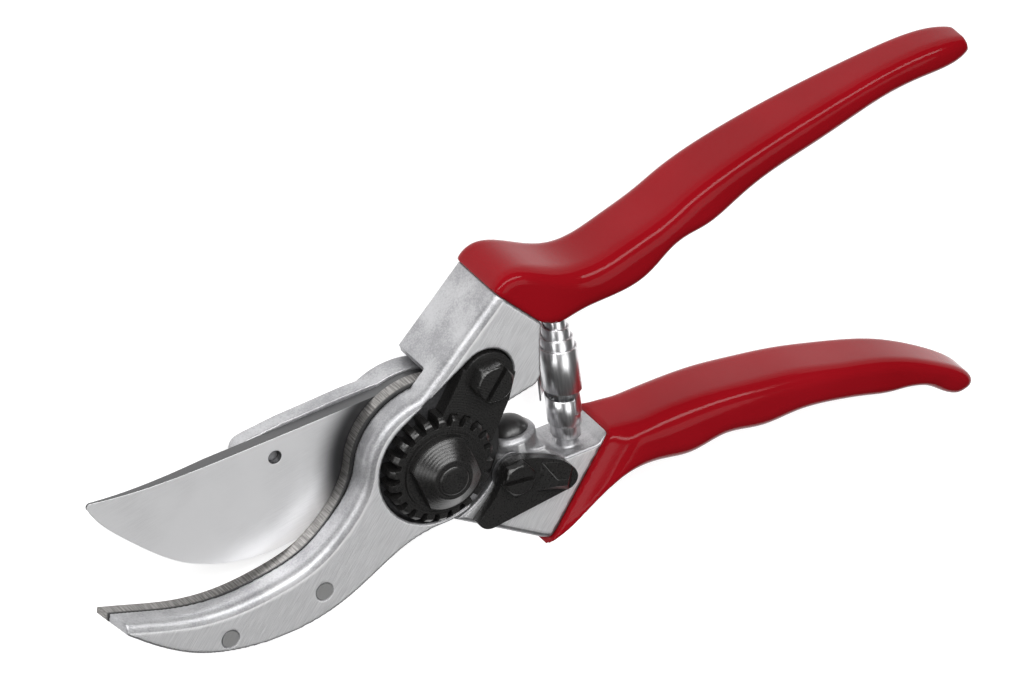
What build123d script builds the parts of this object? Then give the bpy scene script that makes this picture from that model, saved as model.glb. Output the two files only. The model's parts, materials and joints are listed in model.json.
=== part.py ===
from build123d import *
import math
import os

# Bypass pruning shears, millimetres.  The shears lie on their back: +Z is the pivot axis and points to the
# nut side, +X runs to the handles and the jaws point to -X.  The origin is on the pivot axis, in the plane
# of the pivot bolt's flat end, which is the plane that the shears rest on.

# ---- driving dimensions -------------------------------------------------------------------------------
HUB_BACK = 0.4            # back face of the blade handle's hub
BLADE_BACK = 6.9          # back face of the cutting blade
SHEAR_PLANE = 9.9         # where the cutting blade slides on the counter-blade
ALLOY_BACK = 13.4         # front face of the counter-blade, where the hook handle's head starts
FRONT = 19.0              # ground front face of the hook handle
POCKET_FLOOR = 16.6       # floor of the pocket for the toothed nut
COLLAR_FRONT = 14.6       # front face of the blade handle beside the catch
BOLT_END = 26.9           # end of the pivot bolt

SHAFT_R = 5.0             # pivot bolt where it turns in the blade handle
RUNNING = 0.05            # radial running clearance
THREAD_R = 3.5
HEAD_R = 8.6              # pivot bolt's round head, sunk in the blade handle
HEAD_T = 2.6

HUB_R = 17.0              # blade handle's hub disc
BLADE_HUB_R = 16.4        # cutting blade's round tail
RING_R = 17.3             # counter-blade's ring
HEAD_RIM_R = 16.7         # hook handle's cast rim
HEAD_LOW_R = 14.2         # lower edge of the hook handle's head
HOOK_CLEAR_R = 17.6       # hollow of the hook handle's neck round the hub
BLADE_CLEAR_R = 18.0      # hollow of the blade handle's neck round the ring

POCKET_R = 13.3
SEGMENT_SCREW = (14.0, 15.9)
SEGMENT_T = 3.4
SEGMENT_END_R = 6.2       # pocket's end round the segment screw

NUT_TEETH = 22
NUT_TIP_R = 12.1
NUT_ROOT_R = 10.0
NUT_BEVEL = 0.9
NUT_FLANGE_TOP = 21.6
NUT_BOSS_R = 8.4
NUT_BOSS_TOP = 23.4
NUT_CONE_TOP = 26.3
NUT_FLATS = 12.8
NUT_FLAT_TURN = 15.5

CATCH_SCREW = (17.8, -11.3)
CATCH_BACK = 14.9
CATCH_FRONT = 17.4
NUB_HEIGHT = 3.2          # thumb nub on the catch

BUMPER = (21.2, -4.0)     # plan position of the bumper's dome base
BUMPER_Z = 9.0
BUMPER_R = 4.3
BUMPER_H = 2.7

SPRING_LOW = (33.4, -13.4)
SPRING_HIGH = (34.9, 19.4)
SPRING_Z = 9.9
STRIP = 0.4               # thickness of the spring strips

RIVETS = [(-29.4, -18.7), (-51.8, -20.8)]
RIVET_R = 1.75
BLADE_SCREW = (-31.6, 10.8)
BLADE_SCREW_R = 1.5

COAT = 1.6                # thickness of the dipped coating on the handles
ARM_EDGE = 3.3            # height where the bevel under the blade handle's arm ends
BLOCK_BEVEL = 1.8         # bevel under the hook handle's neck
CAST_ROUND = 2.5          # round edge of the hook handle along the jaw, the rim and the neck
COLLAR_BEVEL = 0.7


# ---- helpers ------------------------------------------------------------------------------------------
def polar(radius, degrees):
    return (radius * math.cos(math.radians(degrees)), radius * math.sin(math.radians(degrees)))


def pivot_arc(radius, start, end):
    return ThreePointArc(polar(radius, start), polar(radius, (start + end) / 2), polar(radius, end))


def prism(face, low, high):
    return extrude(Pos(0, 0, low) * face, high - low)


def post(centre, radius, low, high):
    return Pos(centre[0], centre[1], low) * extrude(Circle(radius), high - low)


def outline(*edges):
    return make_face(Curve() + list(edges))


def edges_near(part, low, high, test):
    """Edges whose every point is between two heights and whose middle passes a test on x and y."""
    found = []
    for edge in part.edges():
        box = edge.bounding_box()
        middle = edge @ 0.5
        if box.min.Z > low and box.max.Z < high and test(middle.X, middle.Y):
            found.append(edge)
    return found


# ---- the jaws' shared curves --------------------------------------------------------------------------
HOOK_TIP = (-79.0, -6.0)
HOOK_INNER = [HOOK_TIP, (-70, -9.0), (-60, -12.2), (-50, -13.6), (-40, -12.9), (-31, -10.7), (-24.4, -6.6)]
HOOK_OUTER = [HOOK_TIP, (-70, -14.0), (-60, -20.8), (-50, -24.1), (-38, -25.1), (-25, -22.6), (-13, -17.0)]
HOOK_FOOT = polar(HEAD_LOW_R, -90)
CATCH_TOOTH_R = 15.7      # tooth on the hook handle's head that the catch locks behind
CATCH_TOOTH = (-60, -54.5)


def hook_inner_edge(join_radius, join_angle):
    """The counter-blade's concave edge, running smoothly into the ring round the pivot."""
    end = polar(join_radius, join_angle)
    tangent = polar(1, join_angle - 90)
    return Spline(*HOOK_INNER, end, tangents=[(1, -0.32), tangent])


def hook_outer_edge():
    return Spline(*HOOK_OUTER, HOOK_FOOT, tangents=[(0.75, -0.66), (1, 0)])


def tip_cutter():
    """Everything beyond the hook's ground tip, which leans back towards the front face."""
    profile = Polyline((-90, 0), (-76.4, 0), (-76.4, 9.9), (-73.6, 19.0), (-73.6, 25), (-90, 25), (-90, 0))
    block = extrude(Plane.XZ * make_face(profile), 30, both=True)
    return Pos(-76.0, -8.0, 0) * Rot(0, 0, -13) * Pos(76.0, 0, 0) * block


# ---- hook handle's side ---------------------------------------------------------------------------------
def head_face():
    """The hook handle's head in plan: hook, rim round the pivot and the neck up to the coating."""
    rim_end = 166
    neck_low = polar(HEAD_RIM_R, 93)
    tooth_low, tooth_high = CATCH_TOOTH
    edges = [
        hook_inner_edge(HEAD_RIM_R, rim_end),
        pivot_arc(HEAD_RIM_R, rim_end, 93),
        Line(neck_low, (2.4, 19.4)),
        Line((2.4, 19.4), (19.3, 33.6)),
        Line((19.3, 33.6), (28.1, 23.0)),
        Spline((28.1, 23.0), (26.9, 17.0), (26.2, 11.0)),
        Line((26.2, 11.0), (24.6, 9.4)),
        Line((24.6, 9.4), (15.9, 7.6)),
        Line((15.9, 7.6), polar(HEAD_LOW_R, -46)),
        pivot_arc(HEAD_LOW_R, -46, tooth_high + 2),
        Line(polar(HEAD_LOW_R, tooth_high + 2), polar(CATCH_TOOTH_R, tooth_high)),
        pivot_arc(CATCH_TOOTH_R, tooth_high, tooth_low),
        Line(polar(CATCH_TOOTH_R, tooth_low), polar(HEAD_LOW_R, tooth_low - 4)),
        pivot_arc(HEAD_LOW_R, tooth_low - 4, -90),
        hook_outer_edge(),
    ]
    return outline(*edges)


def pocket_face():
    """Round the nut, round the segment screw, and open towards the lower right."""
    x, y = SEGMENT_SCREW
    spacing = math.hypot(x, y)
    towards = math.degrees(math.atan2(y, x))
    lean = math.degrees(math.acos((POCKET_R - SEGMENT_END_R) / spacing))
    left = polar(1, towards + lean)
    right = polar(1, towards - lean)
    corners = [
        (POCKET_R * left[0], POCKET_R * left[1]),
        (x + SEGMENT_END_R * left[0], y + SEGMENT_END_R * left[1]),
        (x + SEGMENT_END_R * right[0], y + SEGMENT_END_R * right[1]),
        (POCKET_R * right[0], POCKET_R * right[1]),
    ]
    web = make_face(Polyline(*corners, corners[0]))
    mouth = make_face(Polyline((6, 4), (16.6, 7.0), (17, 3), (14, -16), (6, -16), (6, 4)))
    return Circle(POCKET_R) + Pos(x, y) * Circle(SEGMENT_END_R) + web + mouth


def neck_block_face():
    """The hook handle's neck below its head; its free end is the stop when the shears are open."""
    edges = [
        Line((3.9, 17.9), (2.9, 19.9)),
        Line((2.9, 19.9), (19.3, 33.6)),
        Line((19.3, 33.6), (28.1, 23.0)),
        Spline((28.1, 23.0), (26.9, 17.0), (26.2, 11.0)),
        Line((26.2, 11.0), (24.6, 9.4)),
        Line((24.6, 9.4), polar(HOOK_CLEAR_R, 26)),
        pivot_arc(HOOK_CLEAR_R, 26, 77.5),
        Line(polar(HOOK_CLEAR_R, 77.5), (3.9, 17.9)),
    ]
    return outline(*edges)


# Each station of a grip: outer point, inner point, lowest and highest z, corner radius of the coated section.
HOOK_GRIP = [
    ((18.7, 34.3), (28.7, 22.3), 0.8, 19.4, 2.2),
    ((23.6, 37.0), (30.6, 21.0), 0.8, 19.4, 3.0),
    ((29.6, 35.1), (33.5, 20.0), 0.9, 19.4, 3.8),
    ((36.0, 31.9), (37.2, 20.4), 0.9, 19.3, 4.2),
    ((43.0, 30.8), (43.6, 20.8), 1.0, 19.2, 4.2),
    ((53.2, 33.1), (55.4, 23.2), 1.0, 19.1, 4.0),
    ((64.8, 37.1), (68.1, 28.3), 1.1, 18.9, 3.7),
    ((76.5, 40.8), (79.1, 32.3), 1.6, 18.4, 3.5),
    ((90.5, 43.6), (92.0, 35.7), 2.3, 17.7, 3.3),
    ((104.4, 45.6), (105.3, 38.3), 3.1, 16.7, 3.1),
    ((117.6, 46.9), (118.0, 40.3), 3.8, 15.7, 2.9),
    ((129.8, 46.7), (130.0, 40.4), 4.5, 15.0, 2.7),
    ((135.1, 45.2), (135.4, 41.7), 6.2, 13.4, 1.6),
]
BLADE_GRIP = [
    ((23.3, -32.6), (41.5, -10.8), 0.6, 15.2, 2.0),
    ((27.0, -30.8), (43.2, -10.9), 0.9, 16.4, 2.8),
    ((33.6, -25.8), (46.2, -10.7), 1.2, 18.2, 3.8),
    ((41.6, -21.9), (48.8, -10.6), 1.4, 19.2, 4.4),
    ((49.2, -21.6), (52.2, -10.4), 1.4, 19.4, 4.6),
    ((57.0, -22.9), (58.3, -10.4), 1.4, 19.4, 4.6),
    ((65.2, -21.8), (66.3, -11.0), 1.4, 19.3, 4.2),
    ((74.0, -23.4), (75.8, -12.5), 1.5, 19.0, 4.0),
    ((82.7, -23.6), (85.0, -14.3), 1.8, 18.4, 3.6),
    ((91.4, -24.9), (94.2, -17.0), 2.1, 17.8, 3.0),
    ((99.0, -27.2), (102.4, -19.6), 2.4, 17.0, 2.8),
    ((104.4, -28.9), (108.2, -21.9), 2.8, 16.5, 2.6),
    ((109.3, -29.8), (113.5, -24.7), 3.4, 16.0, 2.4),
    ((113.3, -31.2), (118.0, -27.6), 3.9, 15.6, 2.3),
    ((116.0, -33.3), (121.8, -30.5), 4.4, 15.0, 2.3),
    ((118.9, -35.9), (124.8, -34.0), 5.0, 14.4, 2.3),
    ((121.0, -37.3), (125.0, -36.3), 6.6, 12.8, 1.6),
]


def grip_section(station, inset):
    outer, inner, low, high, corner = station
    middle = Vector((outer[0] + inner[0]) / 2, (outer[1] + inner[1]) / 2, (low + high) / 2)
    along = Vector(outer[0] - inner[0], outer[1] - inner[1], 0)
    across = Plane(origin=middle, x_dir=along, z_dir=along.cross(Vector(0, 0, 1)))
    width = along.length - 2 * inset
    height = high - low - 2 * inset
    return across * RectangleRounded(width, height, max(corner - inset, 0.3 * COAT))


def grip_loft(stations, inset):
    return loft([grip_section(station, inset) for station in stations])


def peg(foot, top, radius, height):
    """A tapered peg that centres one end of the spring; it starts well inside its handle."""
    lean = Vector(top[0] - foot[0], top[1] - foot[1], 0)
    seat = Plane(origin=(foot[0], foot[1], SPRING_Z), z_dir=lean)
    return seat * (Pos(0, 0, height / 2 - 3) * Cone(radius, 0.9 * radius, height + 6))


def on_jaw_side(x, y):
    """True on the head's edges along the jaw's mouth, the rim and the neck's outer side."""
    if x < 0:
        return y > -15
    return y > 0.84 * (x - 2.4) + 18.4 or x < 3 and y > 16


def on_neck_side(x, y):
    """True on the straight outer side of the hook handle's neck."""
    return y - 19.9 > 0.8 * (x - 2.9) - 0.6 and x > 5


def hook_handle():
    head = prism(head_face(), ALLOY_BACK, FRONT)
    head = fillet(edges_near(head, FRONT - 0.1, FRONT + 0.1, on_jaw_side), CAST_ROUND) - tip_cutter()
    neck = prism(neck_block_face(), HUB_BACK, ALLOY_BACK + 0.5)
    neck = chamfer(edges_near(neck, 0, 1, on_neck_side), BLOCK_BEVEL)
    handle = head + neck
    handle -= prism(pocket_face(), POCKET_FLOOR, FRONT + 5)
    handle += grip_loft(HOOK_GRIP[:-1], COAT)
    handle += peg((SPRING_HIGH[0], SPRING_HIGH[1] + 2), SPRING_LOW, 1.35, 6)
    handle -= post((0, 0), SHAFT_R, ALLOY_BACK - 1, FRONT)
    handle -= post(SEGMENT_SCREW, 2.5, 4, FRONT)
    for rivet in RIVETS:
        handle -= post(rivet, RIVET_R, 0, FRONT + 1)
    return handle


def counter_blade():
    hook = outline(
        hook_inner_edge(RING_R, 166),
        Line(polar(RING_R, 166), (0, 0)),
        Line((0, 0), HOOK_FOOT),
        hook_outer_edge(),
    )
    ring = Circle(RING_R) - Pos(0, -RING_R) * Rectangle(60, 2 * (RING_R - HEAD_LOW_R) + 0.001)
    blade = prism(hook + ring, SHEAR_PLANE, ALLOY_BACK) - tip_cutter()
    blade -= post((0, 0), SHAFT_R, 0, 30)
    for rivet in RIVETS:
        blade -= post(rivet, RIVET_R, 0, 30)
    return blade


def counter_blade_rivets():
    return Compound(children=[post(rivet, RIVET_R, SHEAR_PLANE + 0.3, FRONT) for rivet in RIVETS])


def pivot_bolt():
    bolt = post((0, 0), HEAD_R, 0, HEAD_T)
    bolt += post((0, 0), SHAFT_R, HEAD_T, POCKET_FLOOR)
    bolt += post((0, 0), THREAD_R, POCKET_FLOOR, BOLT_END)
    return chamfer(edges_near(bolt, BOLT_END - 0.1, BOLT_END + 0.1, lambda x, y: True), 0.5)


def gear_face(tip_radius, root_radius, grow):
    """The nut's toothed flange in plan; grow widens each tooth by that much on either side."""
    pitch = 360 / NUT_TEETH
    corners = []
    for tooth in range(NUT_TEETH):
        middle = tooth * pitch
        root_half = 0.33 * pitch + math.degrees(grow / root_radius)
        tip_half = 0.21 * pitch + math.degrees(grow / tip_radius)
        corners += [polar(root_radius, middle - root_half), polar(tip_radius, middle - tip_half)]
        corners += [polar(tip_radius, middle + tip_half), polar(root_radius, middle + root_half)]
    return make_face(Polyline(*corners, corners[0]))


def toothed_nut():
    blank = post((0, 0), NUT_TIP_R, POCKET_FLOOR, NUT_FLANGE_TOP)
    blank = chamfer(blank.edges().group_by(Axis.Z)[-1], NUT_BEVEL)
    flange = prism(gear_face(NUT_TIP_R, NUT_ROOT_R, 0), POCKET_FLOOR, NUT_FLANGE_TOP) & blank
    boss = post((0, 0), NUT_BOSS_R, NUT_FLANGE_TOP - 0.5, NUT_BOSS_TOP)
    cone_height = NUT_CONE_TOP - NUT_BOSS_TOP
    boss += Pos(0, 0, NUT_BOSS_TOP + cone_height / 2) * Cone(NUT_BOSS_R - 0.3, 4.4, cone_height)
    keep = Rot(0, 0, NUT_FLAT_TURN) * Box(NUT_FLATS, 40, 80)
    foot = post((0, 0), NUT_BOSS_R + 0.4, NUT_FLANGE_TOP - 0.5, NUT_FLANGE_TOP + 0.5)
    return flange + (boss & keep) + foot - post((0, 0), THREAD_R, 0, 30)


def toothed_segment():
    x, y = SEGMENT_SCREW
    corners = [(9.0, 20.0), (2.6, 11.6), (2.6, 6), (10.6, -1.6), (17.9, 9.4), (20.2, 15.0)]
    body = make_face(Polyline(*corners, corners[0]))
    plate = body + Pos(x, y) * Circle(SEGMENT_END_R - 0.4)
    plate -= gear_face(NUT_TIP_R + 0.15, NUT_ROOT_R + 0.15, 0.15)
    plate -= Circle(NUT_ROOT_R + 0.15)
    whole = plate.faces().sort_by(SortBy.AREA)[-1]
    return prism(whole, POCKET_FLOOR, POCKET_FLOOR + SEGMENT_T) - post(SEGMENT_SCREW, 2.5, 0, 30)


def slotted_screw(centre, across, shank, seat, head_height, slot_turn, tail):
    """Hexagonal head with a screwdriver slot, and a shank down to the depth given."""
    hexagon = Rot(0, 0, slot_turn + 12) * RegularPolygon(across / 2, 6, major_radius=False)
    crown = post(centre, across / 2 + 0.45, seat, seat + head_height)
    head = Pos(*centre, seat) * extrude(hexagon, head_height)
    head &= chamfer(crown.edges().group_by(Axis.Z)[-1], 0.7)
    slot = Pos(*centre, seat + head_height) * Rot(0, 0, slot_turn) * Box(2 * across, 1.1, 2.4)
    return head - slot + post(centre, shank, tail, seat + 0.2)


def segment_screw():
    return slotted_screw(SEGMENT_SCREW, 8.0, 2.5, POCKET_FLOOR + SEGMENT_T, 3.4, 48, POCKET_FLOOR - 8)


# ---- blade handle's side --------------------------------------------------------------------------------
def arm_face():
    """The arm that backs the cutting blade along its spine, up to the hub."""
    edges = [
        Line((2.6, 15.6), (-1.1, 16.2)),
        Line((-1.1, 16.2), (-12, 16.5)),
        Line((-12, 16.5), (-28, 16.0)),
        Line((-28, 16.0), (-36.5, 15.2)),
        ThreePointArc((-36.5, 15.2), (-38.3, 14.2), (-38.9, 12.2)),
        Line((-38.9, 12.2), (-22, 5.0)),
        Line((-22, 5.0), (-14, -4)),
        Line((-14, -4), (2.6, 15.6)),
    ]
    return outline(*edges)


def collar_face():
    """The blade handle's neck, from the hub to the coating."""
    edges = [
        Line((2.0, -16.4), (22.4, -30.0)),
        Line((22.4, -30.0), (24.4, -30.9)),
        Line((24.4, -30.9), (41.1, -11.4)),
        Line((41.1, -11.4), (38.6, -13.4)),
        Line((38.6, -13.4), (30.4, -13.4)),
        Spline((30.4, -13.4), (28.2, -11.0), (26.6, -8.8)),
        Line((26.6, -8.8), (15.8, -8.2)),
        Line((15.8, -8.2), (2.0, -16.4)),
    ]
    return outline(*edges)


def on_collar_side(x, y):
    """True on the collar's outer edge, between the hub and the coating."""
    return y < -14 and y < -0.9 * x - 5


def hub_disc():
    disc = post((0, 0), HUB_R, HUB_BACK, BLADE_BACK)
    return chamfer(disc.edges().group_by(Axis.Z)[0], 1.2)


def blade_handle():
    handle = prism(arm_face(), ARM_EDGE, BLADE_BACK)
    handle += Pos(0, 0, ARM_EDGE) * extrude(arm_face(), ARM_EDGE - HUB_BACK, dir=(0, 0, -1), taper=42)
    handle += hub_disc()
    collar = prism(collar_face(), HUB_BACK, COLLAR_FRONT)
    collar = chamfer(edges_near(collar, COLLAR_FRONT - 0.1, 30, on_collar_side), COLLAR_BEVEL)
    handle += collar - post((0, 0), BLADE_CLEAR_R, BLADE_BACK, 30)
    handle += grip_loft(BLADE_GRIP[:-1], COAT)
    boss_plane = Plane(origin=(BUMPER[0], BUMPER[1], BUMPER_Z), x_dir=(1, 0, 0), z_dir=(0, 1, 0))
    handle += boss_plane * (Pos(0, 0, -3.7) * Cylinder(5.6, 4.4)) - post((0, 0), BLADE_CLEAR_R, 0, 30)
    handle += boss_plane * (Pos(0, 0, -1.5) * Cylinder(4.9, 1.4)) - post((0, 0), BLADE_CLEAR_R, 0, 30)
    handle -= boss_plane * (Pos(0, 0, -2.7) * Cylinder(2.4, 5.4))
    handle += peg(SPRING_LOW, SPRING_HIGH, 2.3, 4)
    handle -= post((0, 0), SHAFT_R + RUNNING, 0, 30)
    handle -= post((0, 0), HEAD_R + 0.1, 0, HEAD_T + 0.1)
    handle -= post(CATCH_SCREW, 2.0, 4.6, 30)
    handle -= post(BLADE_SCREW, BLADE_SCREW_R, 0, 30)
    handle -= post(BLADE_SCREW, 2.9, HUB_BACK, HUB_BACK + 2.2)
    return handle


def cutting_blade():
    tail = polar(BLADE_HUB_R, -120)
    spine = Spline((-4.6, 15.6), (-20, 15.4), (-40, 15.2), (-60, 15.6), (-73.6, 17.3))
    tip = ThreePointArc((-73.6, 17.3), (-74.5, 17.0), (-74.4, 15.8))
    belly = [(-74.4, 15.8), (-72.6, 12.3), (-67.9, 6.5), (-62.5, 0.9), (-56, -4.6), (-46, -9.2)]
    heel = [(-35, -10.7), (-24, -9.6), tail]
    edges = [spine, tip, Spline(*belly, *heel), Line(tail, (-4.6, 15.6))]
    blade = prism(outline(*edges) + Circle(BLADE_HUB_R), BLADE_BACK, SHEAR_PLANE)
    thinned = make_face(Polyline((-80, 6), (-80, 9.7), (-73, 9.2), (-46, 6.9), (-46, 6), (-80, 6)))
    blade -= extrude(Plane.XZ * thinned, 40, both=True)
    blade -= post((0, 0), SHAFT_R + RUNNING, 0, 30)
    return blade - post(BLADE_SCREW, BLADE_SCREW_R, 0, 30)


def blade_screw():
    head = post(BLADE_SCREW, 2.8, HUB_BACK, HUB_BACK + 2.1)
    return head + post(BLADE_SCREW, BLADE_SCREW_R, HUB_BACK, SHEAR_PLANE - 1.6)


def bumper():
    base = Plane(origin=(BUMPER[0], BUMPER[1] - 0.8, BUMPER_Z), x_dir=(1, 0, 0), z_dir=(0, 1, 0))
    radius = (BUMPER_R ** 2 + BUMPER_H ** 2) / (2 * BUMPER_H)
    cap = Pos(0, 0, BUMPER_H - radius) * Sphere(radius) & Pos(0, 0, 10) * Cylinder(BUMPER_R, 20)
    return base * (cap + Pos(0, 0, -2.2) * Cylinder(2.4, 4.4))


def catch_face():
    shoulder = [(14.6, -9.6), (16.4, -7.8), (19.7, -7.8)]
    thumb_end = [(25.0, -9.8), (29.9, -13.2), (31.5, -16.6), (29.6, -19.0)]
    edges = [
        Spline((7.6, -18.6), (10.6, -16.0), (13.4, -12.9), (14.6, -9.6)),
        Spline(*shoulder, *thumb_end),
        Line((29.6, -19.0), (12.4, -20.9)),
        Spline((12.4, -20.9), (8.8, -20.4), (7.6, -18.6)),
    ]
    return outline(*edges)


def thumb_catch():
    plate = prism(catch_face(), CATCH_BACK, CATCH_FRONT)
    nub_foot = Pos(26.4, -14.9, CATCH_FRONT) * Rot(0, 0, -20) * Rectangle(7.6, 6.4)
    nub = extrude(nub_foot, NUB_HEIGHT, taper=38) & prism(catch_face(), CATCH_FRONT, BOLT_END)
    return plate + nub - post(CATCH_SCREW, 2.0 + RUNNING, 0, 30)


def catch_spring_washer():
    return post(CATCH_SCREW, 4.4, COLLAR_FRONT, CATCH_BACK) - post(CATCH_SCREW, 2.1, 0, 30)


def catch_screw():
    return slotted_screw(CATCH_SCREW, 6.8, 2.0, CATCH_FRONT + 0.05, 1.9, -8, 5)


# ---- the spring -----------------------------------------------------------------------------------------
def spring_strip(turns):
    """One wound strip, drawn as the telescoping tubes that its turns make.

    Each turn: outer radius at its low end and at its high end, and the heights of both ends along the axis.
    """
    axis = Vector(SPRING_HIGH[0] - SPRING_LOW[0], SPRING_HIGH[1] - SPRING_LOW[1], 0)
    seat = Plane(origin=(SPRING_LOW[0], SPRING_LOW[1], SPRING_Z), z_dir=axis)
    tubes = []
    for low_radius, high_radius, low, high in turns:
        height = high - low
        tube = Cone(low_radius, high_radius, height) - Cone(low_radius - STRIP, high_radius - STRIP, height)
        tubes.append(seat * (Pos(0, 0, (low + high) / 2) * tube))
    return Part() + tubes


def spring_upper_strip():
    turns = [
        (4.7, 4.25, 11.0, 22.4),
        (4.2, 3.8, 20.4, 24.6),
        (3.75, 3.3, 22.6, 26.6),
        (3.25, 2.7, 24.6, 28.6),
        (2.65, 1.9, 26.4, 32.6),
    ]
    return spring_strip(turns)


def spring_lower_strip():
    turns = [
        (2.9, 3.2, 0.4, 6.0),
        (3.3, 3.6, 4.0, 10.0),
        (3.7, 3.8, 8.0, 15.0),
    ]
    return spring_strip(turns)


def hook_grip():
    return grip_loft(HOOK_GRIP, 0) - hook_handle()


def blade_grip():
    return grip_loft(BLADE_GRIP, 0) - blade_handle()


NODES = {
    "hook_handle": hook_handle,
    "counter_blade": counter_blade,
    "counter_blade_rivets": counter_blade_rivets,
    "pivot_bolt": pivot_bolt,
    "toothed_nut": toothed_nut,
    "toothed_segment": toothed_segment,
    "segment_screw": segment_screw,
    "hook_grip": hook_grip,
    "blade_handle": blade_handle,
    "blade_grip": blade_grip,
    "cutting_blade": cutting_blade,
    "blade_screw": blade_screw,
    "bumper": bumper,
    "thumb_catch": thumb_catch,
    "catch_screw": catch_screw,
    "catch_spring_washer": catch_spring_washer,
    "spring_upper_strip": spring_upper_strip,
    "spring_lower_strip": spring_lower_strip,
}

os.makedirs("parts", exist_ok=True)
for name, make in NODES.items():
    export_step(make(), f"parts/{name}.step")
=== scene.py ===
import json
import math

import bmesh
import bpy
from mathutils import Matrix, Vector


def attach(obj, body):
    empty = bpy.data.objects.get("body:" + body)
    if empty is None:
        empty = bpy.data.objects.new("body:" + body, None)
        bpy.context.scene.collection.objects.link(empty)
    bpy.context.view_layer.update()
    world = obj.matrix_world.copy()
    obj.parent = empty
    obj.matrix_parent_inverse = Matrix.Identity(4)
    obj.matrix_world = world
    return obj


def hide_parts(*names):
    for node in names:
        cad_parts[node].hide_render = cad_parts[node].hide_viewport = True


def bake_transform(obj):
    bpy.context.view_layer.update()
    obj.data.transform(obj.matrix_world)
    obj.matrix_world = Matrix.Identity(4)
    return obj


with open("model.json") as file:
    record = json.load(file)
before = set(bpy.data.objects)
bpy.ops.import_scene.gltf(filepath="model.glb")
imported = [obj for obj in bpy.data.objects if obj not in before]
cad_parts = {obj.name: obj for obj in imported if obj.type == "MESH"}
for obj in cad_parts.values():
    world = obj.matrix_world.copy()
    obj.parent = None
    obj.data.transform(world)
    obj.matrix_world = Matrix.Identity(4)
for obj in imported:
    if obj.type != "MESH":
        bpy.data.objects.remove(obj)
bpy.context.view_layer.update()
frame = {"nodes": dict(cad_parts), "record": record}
NODES = frame["nodes"]
RECORD = frame["record"]
MM = 0.001
UP = Vector((0, 0, 1))

# ---- the view: the shears lie on their back, seen from above on the hook handle's side ----------------
VIEW_AZIMUTH = math.radians(122)      # from +X
VIEW_ELEVATION = math.radians(51)
VIEW_ROLL = math.radians(-132)
VIEW_CENTRE = Vector((20.4, 22.5, 20.2)) * MM
VIEW_DISTANCE = 5.5
VIEW_WIDTH = 0.2103                   # metres across the picture at the view's centre
SENSOR = 36.0
FAR_CLIP = 40


def direction_at(azimuth, elevation):
    """Unit vector at an angle from +X towards +Y and an angle above the floor."""
    level = math.cos(elevation)
    return Vector((math.cos(azimuth) * level, math.sin(azimuth) * level, math.sin(elevation)))


def view_axes():
    """The camera's right, up and backward directions."""
    back = direction_at(VIEW_AZIMUTH, VIEW_ELEVATION)
    level_up = direction_at(VIEW_AZIMUTH, VIEW_ELEVATION + math.pi / 2)
    level_right = level_up.cross(back)
    up = math.cos(VIEW_ROLL) * level_up + math.sin(VIEW_ROLL) * level_right
    return up.cross(back), up, back


def make_camera():
    """A long lens far off, turned so that the handles point to the upper right."""
    right, up, back = view_axes()
    data = bpy.data.cameras.new("camera")
    data.sensor_width = SENSOR
    data.lens = SENSOR * VIEW_DISTANCE / VIEW_WIDTH
    data.clip_end = FAR_CLIP
    camera = bpy.data.objects.new("camera", data)
    bpy.context.scene.collection.objects.link(camera)
    turn = Matrix((right, up, back)).transposed().to_4x4()
    camera.matrix_world = Matrix.Translation(VIEW_CENTRE + back * VIEW_DISTANCE) @ turn
    bpy.context.scene.camera = camera


make_camera()


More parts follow.
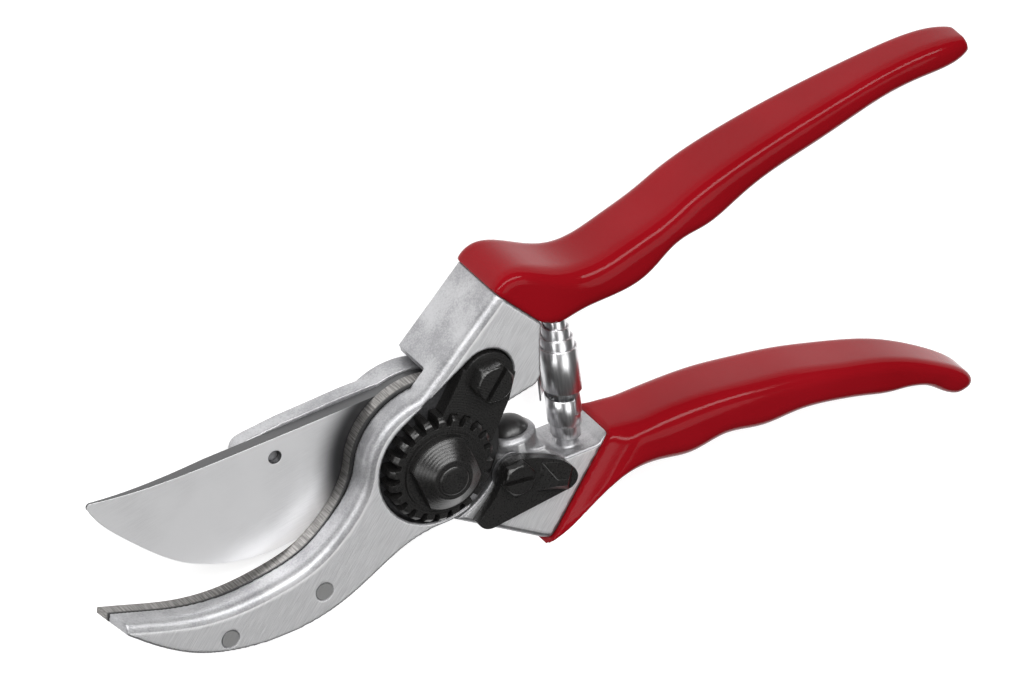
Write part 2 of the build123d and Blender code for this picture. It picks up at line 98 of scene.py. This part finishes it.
# ---- materials ----------------------------------------------------------------------------------------
class Nodes:
    """Builds one material's node tree; coordinates are object space in millimetres."""

    COLOUR_A = 6              # places of the mix node's colour sockets
    COLOUR_B = 7
    COLOUR_RESULT = 2

    def __init__(self, name):
        self.material = bpy.data.materials.new(name)
        self.material.use_nodes = True
        self.tree = self.material.node_tree
        self.shader = self.tree.nodes["Principled BSDF"]
        position = self.tree.nodes.new("ShaderNodeTexCoord").outputs["Object"]
        self.position = self.vector("SCALE", position, scale=1 / MM)

    def link(self, value, socket):
        """Joins another node's output to a socket, or sets the socket to a plain value."""
        if isinstance(value, bpy.types.NodeSocket):
            self.tree.links.new(value, socket)
        elif isinstance(value, tuple) and len(value) == 3 and socket.type == "RGBA":
            socket.default_value = (*value, 1)
        else:
            socket.default_value = value

    def vector(self, operation, *inputs, scale=None):
        node = self.tree.nodes.new("ShaderNodeVectorMath")
        node.operation = operation
        for value, socket in zip(inputs, node.inputs):
            self.link(value, socket)
        if scale is not None:
            node.inputs["Scale"].default_value = scale
        is_number = operation in ("LENGTH", "DOT_PRODUCT")
        return node.outputs["Value" if is_number else "Vector"]

    def math(self, operation, *inputs):
        """One operation on numbers, such as "ADD" or "SINE"."""
        node = self.tree.nodes.new("ShaderNodeMath")
        node.operation = operation
        for value, socket in zip(inputs, node.inputs):
            self.link(value, socket)
        return node.outputs[0]

    def axis(self, name):
        node = self.tree.nodes.new("ShaderNodeSeparateXYZ")
        self.link(self.position, node.inputs[0])
        return node.outputs[name]

    def facing_up(self):
        """1 where the surface faces +Z, falling to 0 where it stands upright."""
        normal = self.tree.nodes.new("ShaderNodeNewGeometry").outputs["Normal"]
        return self.vector("DOT_PRODUCT", normal, UP)

    def noise(self, scale, detail=4.0, stretch=(1, 1, 1), turn=0.0, rough=0.5):
        """Noise between 0 and 1; stretch lengthens its spots along each axis, turn swings them about Z."""
        mapping = self.tree.nodes.new("ShaderNodeMapping")
        mapping.vector_type = "TEXTURE"
        self.link(self.position, mapping.inputs["Vector"])
        mapping.inputs["Rotation"].default_value = (0, 0, turn)
        mapping.inputs["Scale"].default_value = stretch
        node = self.tree.nodes.new("ShaderNodeTexNoise")
        self.link(mapping.outputs[0], node.inputs["Vector"])
        node.inputs["Scale"].default_value = scale
        node.inputs["Detail"].default_value = detail
        node.inputs["Roughness"].default_value = rough
        return node.outputs["Fac"]

    def fit(self, value, low, high, to_low=0.0, to_high=1.0):
        """Carries low..high smoothly to to_low..to_high and holds the ends beyond."""
        node = self.tree.nodes.new("ShaderNodeMapRange")
        node.interpolation_type = "SMOOTHSTEP"
        for number, socket in zip((value, low, high, to_low, to_high), node.inputs):
            self.link(number, socket)
        return node.outputs[0]

    def mix(self, factor, a, b):
        """Colour a where the factor is 0 and colour b where it is 1."""
        node = self.tree.nodes.new("ShaderNodeMix")
        node.data_type = "RGBA"
        self.link(factor, node.inputs["Factor"])
        self.link(a, node.inputs[self.COLOUR_A])
        self.link(b, node.inputs[self.COLOUR_B])
        return node.outputs[self.COLOUR_RESULT]

    def pivot_distance(self):
        flat = self.vector("MULTIPLY", self.position, Vector((1, 1, 0)))
        return self.vector("LENGTH", flat)

    def bump(self, height, strength, distance):
        """Roughens the surface by a height pattern whose full depth is distance millimetres."""
        node = self.tree.nodes.new("ShaderNodeBump")
        node.inputs["Strength"].default_value = strength
        node.inputs["Distance"].default_value = distance * MM
        self.link(height, node.inputs["Height"])
        self.link(node.outputs[0], self.shader.inputs["Normal"])

    def set(self, **values):
        names = {"color": "Base Color", "rough": "Roughness", "metal": "Metallic", "ior": "IOR"}
        for key, value in values.items():
            self.link(value, self.shader.inputs[names[key]])
        return self.material


GRIND_TURN = math.radians(47)         # grinding lines on the front faces, from X
PAINTED_SHADE_Z = 12.9                    # height where painted shade begins on the counter-blade's side, towards the alloy
RING_PAINTED_SHADE = (18.6, 25.0)             # from the pivot to the darkest part and the end of the painted shade in the blade's hollow
RING_FAINT_PAINTED_SHADE = (22.0, 27.5)              # the fainter painted shade round it


def forged_aluminium(front_height):
    """Blasted aluminium, cross-ground on its flat faces at the height given and above."""
    look = Nodes("forged_aluminium")
    flat = look.fit(look.facing_up(), 0.985, 0.998)
    at_front = look.fit(look.axis("Z"), front_height - 0.25, front_height - 0.1)
    ground = look.math("MULTIPLY", flat, at_front)
    grain = look.noise(2.4, detail=6, rough=0.7)
    cloud = look.noise(0.12, detail=3)
    lines = look.noise(3.2, detail=5, stretch=(14, 0.55, 1), turn=GRIND_TURN, rough=0.6)
    shade = look.math("ADD", look.math("MULTIPLY", cloud, 0.5), look.math("MULTIPLY", grain, 0.5))
    cast = look.mix(look.fit(shade, 0.38, 0.62), (0.27, 0.27, 0.28), (0.46, 0.46, 0.47))
    cut = look.mix(look.fit(lines, 0.3, 0.7), (0.78, 0.78, 0.79), (0.96, 0.96, 0.97))
    smoother = look.math("MULTIPLY", ground, -0.10)
    rough = look.math("ADD", smoother, look.fit(grain, 0.3, 0.7, 0.40, 0.50))
    pitted = look.math("MULTIPLY", grain, look.math("SUBTRACT", 1.0, ground))
    scored = look.math("MULTIPLY", lines, ground)
    look.bump(look.math("ADD", pitted, scored), 0.4, 0.12)
    return look.set(color=look.mix(ground, cast, cut), rough=rough, metal=0.85)


def pocket_painted_shade():
    """Painted shade: the floor and walls of the nut's pocket coloured near-black, for the shade in the
    recess.
    """
    look = Nodes("pocket_painted_shade")
    grain = look.noise(1.8, detail=5)
    look.bump(grain, 0.25, 0.08)
    # painted shade: near-black colour for the shade inside the pocket
    color = look.mix(look.fit(grain, 0.3, 0.7), (0.018, 0.018, 0.019), (0.040, 0.040, 0.042))
    return look.set(color=color, rough=0.46, metal=0.2)


def counter_steel():
    """Dark hardened steel, its edge cross-ground from face to face, with a band of painted shade along the
    alloy.
    """
    look = Nodes("counter_blade_steel")
    lines = look.noise(1.6, detail=4, stretch=(0.5, 0.5, 9), rough=0.6)
    band = look.fit(look.axis("Z"), PAINTED_SHADE_Z - 0.3, PAINTED_SHADE_Z + 0.3)
    edge = look.mix(look.fit(lines, 0.35, 0.65), (0.13, 0.125, 0.12), (0.30, 0.29, 0.28))
    look.bump(lines, 0.25, 0.05)
    # painted shade: the band next to the alloy is made near black
    return look.set(color=look.mix(band, edge, (0.05, 0.05, 0.05)), rough=0.4, metal=0.8)


def rivet_steel():
    """Rivet ends ground flush with the face."""
    look = Nodes("rivet_steel")
    lines = look.noise(3.2, detail=4, stretch=(9, 0.6, 1), turn=GRIND_TURN)
    look.bump(lines, 0.2, 0.05)
    return look.set(color=look.mix(lines, (0.36, 0.36, 0.36), (0.46, 0.46, 0.46)), rough=0.4, metal=0.85)


def satin_blade():
    """The blade's front is satin ground; painted shade darkens it into the hollow beside the
    counter-blade's ring, and its sides are painted dark as shade.
    """
    look = Nodes("blade_steel")
    facing = look.fit(look.facing_up(), 0.7, 0.9)
    fine = look.noise(5.0, detail=5, stretch=(16, 0.35, 1), turn=math.radians(10), rough=0.6)
    cloud = look.noise(0.05, detail=2)
    radius = look.pivot_distance()
    clear_of_painted_shade = look.math("MULTIPLY", look.fit(radius, *RING_PAINTED_SHADE), look.fit(radius, *RING_FAINT_PAINTED_SHADE, 0.86, 1.0))
    face = look.mix(look.fit(fine, 0.3, 0.7), (0.80, 0.80, 0.81), (0.92, 0.92, 0.93))
    face = look.mix(look.fit(cloud, 0.35, 0.65), face, (0.93, 0.93, 0.94))
    # painted shade in the hollow beside the counter-blade's ring
    face = look.mix(clear_of_painted_shade, (0.055, 0.055, 0.058), face)
    look.bump(fine, 0.15, 0.03)
    rough = look.fit(fine, 0.3, 0.7, 0.34, 0.42)
    # painted shade: faces that don't face up are coloured near black
    return look.set(color=look.mix(facing, (0.09, 0.09, 0.092), face), rough=rough, metal=0.8)


def black_oxide():
    """Blackened steel with faint turning marks round the pivot."""
    look = Nodes("black_oxide")
    wander = look.math("MULTIPLY", look.noise(1.0, detail=1), 0.15)
    radius = look.math("ADD", look.pivot_distance(), wander)
    turned = look.math("SINE", look.math("MULTIPLY", radius, 11.0))
    grain = look.noise(3.0, detail=5, rough=0.7)
    height = look.math("ADD", look.math("MULTIPLY", turned, 0.7), look.math("MULTIPLY", grain, 0.4))
    look.bump(height, 0.2, 0.04)
    color = look.mix(look.fit(grain, 0.3, 0.75), (0.008, 0.008, 0.008), (0.022, 0.021, 0.020))
    return look.set(color=color, rough=look.fit(grain, 0.3, 0.7, 0.26, 0.34), metal=0.3)


def red_coating():
    """Thick dipped vinyl, glossy, with a slight orange-peel surface."""
    look = Nodes("red_coating")
    peel = look.noise(0.25, detail=2)
    tone = look.noise(0.035, detail=2)
    look.bump(peel, 0.06, 0.25)
    look.shader.inputs["Specular IOR Level"].default_value = 0.1
    color = look.mix(look.fit(tone, 0.3, 0.7), (0.195, 0.003, 0.006), (0.225, 0.004, 0.008))
    return look.set(color=color, rough=0.11, ior=1.45)


def bumper_rubber():
    """Hard black rubber."""
    look = Nodes("bumper_rubber")
    grain = look.noise(1.5, detail=4)
    look.bump(grain, 0.12, 0.06)
    color = look.mix(grain, (0.010, 0.010, 0.010), (0.022, 0.021, 0.021))
    return look.set(color=color, rough=0.34, ior=1.5)


def spring_chrome():
    """Bright spring strip, drawn along the spring's length."""
    look = Nodes("spring_chrome")
    lines = look.noise(1.2, detail=4, stretch=(0.5, 9, 0.5))
    look.bump(lines, 0.12, 0.05)
    color = look.mix(look.fit(lines, 0.35, 0.65), (0.66, 0.66, 0.67), (0.86, 0.86, 0.87))
    return look.set(color=color, rough=0.30, metal=1.0)


def screw_steel():
    """Plain steel of the hidden screw and washer."""
    look = Nodes("screw_steel")
    grain = look.noise(2.5, detail=4)
    look.bump(grain, 0.2, 0.04)
    return look.set(color=look.mix(grain, (0.30, 0.30, 0.31), (0.46, 0.46, 0.47)), rough=0.3, metal=1.0)


def floor_paper():
    """A white light table: lit from below, so shadows on it stay faint."""
    look = Nodes("floor_paper")
    grain = look.noise(0.4, detail=3)
    look.bump(grain, 0.03, 0.1)
    look.shader.inputs["Emission Color"].default_value = (1, 1, 1, 1)
    look.shader.inputs["Emission Strength"].default_value = 0.8
    return look.set(color=look.mix(grain, (0.50, 0.50, 0.50), (0.52, 0.52, 0.52)), rough=0.9)


# ---- pieces: sizes in millimetres in the frame's axes -------------------------------------------------
FRONT_Z = 19.0
POCKET_FLOOR_Z = 16.6
POCKET_R = 13.3
SEGMENT_SCREW = Vector((14.0, 15.9))
SEGMENT_END_R = 6.2
POCKET_MARGIN = 0.25                  # smoothing moves the pocket's walls, floor and rim by less than these
FLOOR_MARGIN = 0.4
RIM_MARGIN = 0.35
COLLAR_FRONT_Z = 14.6
RIVETS = [Vector((-29.4, -18.7)), Vector((-51.8, -20.8))]
RIVET_SPREAD = 1.05
RIVET_PROUD = 0.03                    # keeps the rivets' ends from lying exactly in the front face
WELD = 0.002                          # points nearer than this are one point
FLAT_ANGLE = math.radians(0.5)        # faces within this angle are one face
SHARP_ANGLE = math.radians(30)
BEVEL_SEGMENTS = 2
LARGEST_FACE = 100                    # weight that lets the largest face set its edges' shading


def body_of(node):
    """The moving body that a node belongs to."""
    for body, nodes in RECORD["behaviour"]["bodies"].items():
        if node in nodes:
            return body


def settle(piece):
    """Applies the piece's modifiers."""
    graph = bpy.context.evaluated_depsgraph_get()
    mesh = bpy.data.meshes.new_from_object(piece.evaluated_get(graph))
    piece.modifiers.clear()
    piece.data = mesh


def copy_of(node):
    """A copy of a CAD node's shape, without its material."""
    source = NODES[node]
    mesh = source.data.copy()
    mesh.transform(source.matrix_world)
    mesh.materials.clear()
    piece = bpy.data.objects.new(node + "_form", mesh)
    bpy.context.scene.collection.objects.link(piece)
    return piece


def finish_piece(piece, node, material):
    """Gives the piece its material and lets it stand for the node and move with its body."""
    piece.data.materials.append(material)
    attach(piece, body_of(node))
    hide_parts(node)


def machined(node, material, bevel):
    """A machined piece: the CAD shape with its flat faces whole and small rounded edges."""
    piece = copy_of(node)
    bm = bmesh.new()
    bm.from_mesh(piece.data)
    bmesh.ops.remove_doubles(bm, verts=bm.verts, dist=WELD * MM)
    bmesh.ops.dissolve_limit(bm, angle_limit=FLAT_ANGLE, verts=bm.verts, edges=bm.edges)
    bm.to_mesh(piece.data)
    bm.free()
    rounding = piece.modifiers.new("edges", "BEVEL")
    rounding.width = bevel * MM
    rounding.segments = BEVEL_SEGMENTS
    rounding.limit_method = "ANGLE"
    rounding.angle_limit = SHARP_ANGLE
    rounding.use_clamp_overlap = True
    settle(piece)
    piece.data.shade_smooth()
    piece.data.set_sharp_from_angle(angle=SHARP_ANGLE)
    flatten = piece.modifiers.new("flat_faces", "WEIGHTED_NORMAL")
    flatten.weight = LARGEST_FACE
    flatten.keep_sharp = True
    settle(piece)
    finish_piece(piece, node, material)


def flush_rivets(node, material):
    """The rivets, spread a little as riveting leaves them."""
    piece = copy_of(node)
    for vertex in piece.data.vertices:
        point = vertex.co.xy / MM
        middle = min(RIVETS, key=lambda rivet: (point - rivet).length)
        vertex.co.xy = (middle + (point - middle) * RIVET_SPREAD) * MM
        if vertex.co.z > (FRONT_Z - 1) * MM:
            vertex.co.z = (FRONT_Z + RIVET_PROUD) * MM
    finish_piece(piece, node, material)


def cast(node, material, voxel, passes):
    """A forged or dipped piece: the CAD shape with every edge worn round; returns it."""
    piece = copy_of(node)
    skin = piece.modifiers.new("skin", "REMESH")
    skin.mode = "VOXEL"
    skin.voxel_size = voxel * MM
    soften = piece.modifiers.new("soften", "SMOOTH")
    soften.factor = 0.5
    soften.iterations = passes
    settle(piece)
    piece.data.shade_smooth()
    finish_piece(piece, node, material)
    return piece


def in_pocket(centre):
    """True on the pocket's floor and walls, which get the painted shade."""
    point = Vector((centre.x, centre.y)) / MM
    height = centre.z / MM
    if not POCKET_FLOOR_Z - FLOOR_MARGIN < height < FRONT_Z - RIM_MARGIN:
        return False
    if point.length < POCKET_R + POCKET_MARGIN:
        return True
    share = min(max(point.dot(SEGMENT_SCREW) / SEGMENT_SCREW.length_squared, 0), 1)
    radius = POCKET_R + (SEGMENT_END_R - POCKET_R) * share + POCKET_MARGIN
    return (point - share * SEGMENT_SCREW).length < radius


def paint_pocket_shade(piece, material):
    """Adds the material as the piece's second and gives it to the faces in the pocket."""
    piece.data.materials.append(material)
    for face in piece.data.polygons:
        if in_pocket(face.center):
            face.material_index = 1


# ---- the spring: two steel strips, wound into a volute that telescopes --------------------------------
SPRING_LOW = Vector((33.4, -13.4, 9.9))
SPRING_HIGH = Vector((34.9, 19.4, 9.9))
STRIP = 0.4
STRIP_EDGE = 0.1                      # rounding of the strip's edges
STRIP_STEPS = 96                      # steps in one turn
STRIP_SHARP = math.radians(50)


def spring_axes():
    """Directions along the spring, across it and upwards."""
    along = (SPRING_HIGH - SPRING_LOW).normalized()
    side = along.cross(UP).normalized()
    return along, side, side.cross(along)


def between(ends, share):
    """The value at a share of the way from the first end to the second."""
    return ends[0] + (ends[1] - ends[0]) * share


def strip_section(width):
    """The strip's outline: distance along the spring and depth into the strip."""
    edge = STRIP_EDGE
    return [
        (edge, 0),
        (width - edge, 0),
        (width, edge),
        (width, STRIP - edge),
        (width - edge, STRIP),
        (edge, STRIP),
        (0, STRIP - edge),
        (0, edge),
    ]


def wound_strip(name, node, material, turns, radii, starts, widths, flare, first_turn):
    """One strip; radii, starts and widths each give the value at the strip's first and last end.

    A start is the distance from the spring's low end to the strip's lower edge.  The strip begins at
    first_turn and leans outwards at its lower edge by half of flare.
    """
    along, side, rise = spring_axes()
    bm = bmesh.new()
    rings = []
    steps = int(turns * STRIP_STEPS)
    for step in range(steps + 1):
        share = step / steps
        angle = 2 * math.pi * (first_turn + turns * share)
        radius = between(radii, share)
        start = between(starts, share)
        width = between(widths, share)
        out = math.cos(angle) * side + math.sin(angle) * rise
        ring = []
        for height, depth in strip_section(width):
            lean = flare * (0.5 - height / width)
            point = SPRING_LOW + (start + height) * along + (radius + lean - depth) * out
            ring.append(bm.verts.new(point * MM))
        rings.append(ring)
    count = len(rings[0])
    for first, second in zip(rings, rings[1:]):
        for corner in range(count):
            after = (corner + 1) % count
            bm.faces.new((first[corner], first[after], second[after], second[corner]))
    bm.faces.new(rings[0][::-1])
    bm.faces.new(rings[-1])
    bmesh.ops.recalc_face_normals(bm, faces=bm.faces)
    mesh = bpy.data.meshes.new(name)
    bm.to_mesh(mesh)
    bm.free()
    mesh.shade_smooth()
    mesh.set_sharp_from_angle(angle=STRIP_SHARP)
    mesh.materials.append(material)
    piece = bpy.data.objects.new(name, mesh)
    bpy.context.scene.collection.objects.link(piece)
    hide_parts(node)
    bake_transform(piece)


# ---- build --------------------------------------------------------------------------------------------
hook_metal = forged_aluminium(FRONT_Z)
blade_metal = forged_aluminium(COLLAR_FRONT_Z)
blackened = black_oxide()
dipped = red_coating()
chrome = spring_chrome()

# the pocket's floor and walls get the painted shade
paint_pocket_shade(cast("hook_handle", hook_metal, 0.3, 3), pocket_painted_shade())
cast("blade_handle", blade_metal, 0.34, 3)
cast("hook_grip", dipped, 0.4, 10)
cast("blade_grip", dipped, 0.4, 10)
machined("counter_blade", counter_steel(), 0.18)
flush_rivets("counter_blade_rivets", rivet_steel())
machined("cutting_blade", satin_blade(), 0.12)
machined("pivot_bolt", blackened, 0.3)
machined("toothed_nut", blackened, 0.16)
machined("toothed_segment", blackened, 0.2)
machined("segment_screw", blackened, 0.25)
machined("thumb_catch", blackened, 0.3)
machined("catch_screw", blackened, 0.22)
machined("catch_spring_washer", screw_steel(), 0.05)
machined("blade_screw", screw_steel(), 0.15)
machined("bumper", bumper_rubber(), 0.2)
wound_strip(
    "spring_upper_winding",
    "spring_upper_strip",
    chrome,
    turns=4.3,
    radii=(4.7, 2.05),
    starts=(11.1, 26.6),
    widths=(11.2, 5.8),
    flare=0.05,
    first_turn=0.55,
)
wound_strip(
    "spring_lower_winding",
    "spring_lower_strip",
    chrome,
    turns=2.6,
    radii=(2.95, 3.85),
    starts=(0.5, 8.0),
    widths=(5.6, 6.8),
    flare=0.0,
    first_turn=0.6,
)


# ---- floor and light: metres and watts ----------------------------------------------------------------
FLOOR_HALF = 6
WALL_DIRECTION = (0.33, -0.53, 0.78)  # towards the brightest part of the studio
WORLD_DIM = 0.22
WORLD_WALL = 1.7
WALL_START = -0.1                     # cosine of the angle from the wall's middle where it begins


def make_floor():
    """The plain table that the shears lie on."""
    mesh = bpy.data.meshes.new("floor")
    bm = bmesh.new()
    bmesh.ops.create_grid(bm, x_segments=1, y_segments=1, size=FLOOR_HALF)
    bm.to_mesh(mesh)
    bm.free()
    floor = bpy.data.objects.new("floor", mesh)
    bpy.context.scene.collection.objects.link(floor)
    mesh.materials.append(floor_paper())


def make_world():
    """A dim studio with a soft pale wall on the far side, which the front faces mirror."""
    world = bpy.data.worlds.new("studio")
    bpy.context.scene.world = world
    world.use_nodes = True
    tree = world.node_tree
    background = tree.nodes["Background"]
    direction = tree.nodes.new("ShaderNodeTexCoord").outputs["Generated"]
    near = tree.nodes.new("ShaderNodeVectorMath")
    near.operation = "DOT_PRODUCT"
    tree.links.new(direction, near.inputs[0])
    near.inputs[1].default_value = WALL_DIRECTION
    ramp = tree.nodes.new("ShaderNodeMapRange")
    ramp.interpolation_type = "SMOOTHSTEP"
    for socket, value in zip(ramp.inputs[1:5], (WALL_START, 1.0, WORLD_DIM, WORLD_WALL)):
        socket.default_value = value
    tree.links.new(near.outputs["Value"], ramp.inputs[0])
    tree.links.new(ramp.outputs[0], background.inputs["Strength"])


def area_light(name, azimuth, elevation, distance, wide, tall, watts):
    """A rectangular lamp turned towards the pivot; its direction is in degrees."""
    light = bpy.data.lights.new(name, "AREA")
    light.shape = "RECTANGLE"
    light.size = wide
    light.size_y = tall
    light.energy = watts
    lamp = bpy.data.objects.new(name, light)
    lamp.location = distance * direction_at(math.radians(azimuth), math.radians(elevation))
    lamp.rotation_euler = (-lamp.location).to_track_quat("-Z", "Y").to_euler()
    bpy.context.scene.collection.objects.link(lamp)


make_floor()
make_world()
area_light("key", azimuth=92, elevation=47, distance=1.5, wide=2.4, tall=0.34, watts=34)
area_light("side", azimuth=170, elevation=40, distance=1.6, wide=0.5, tall=0.9, watts=6)
area_light("top", azimuth=-20, elevation=75, distance=1.8, wide=1.0, tall=1.0, watts=7)
bpy.context.scene.view_settings.view_transform = "Standard"
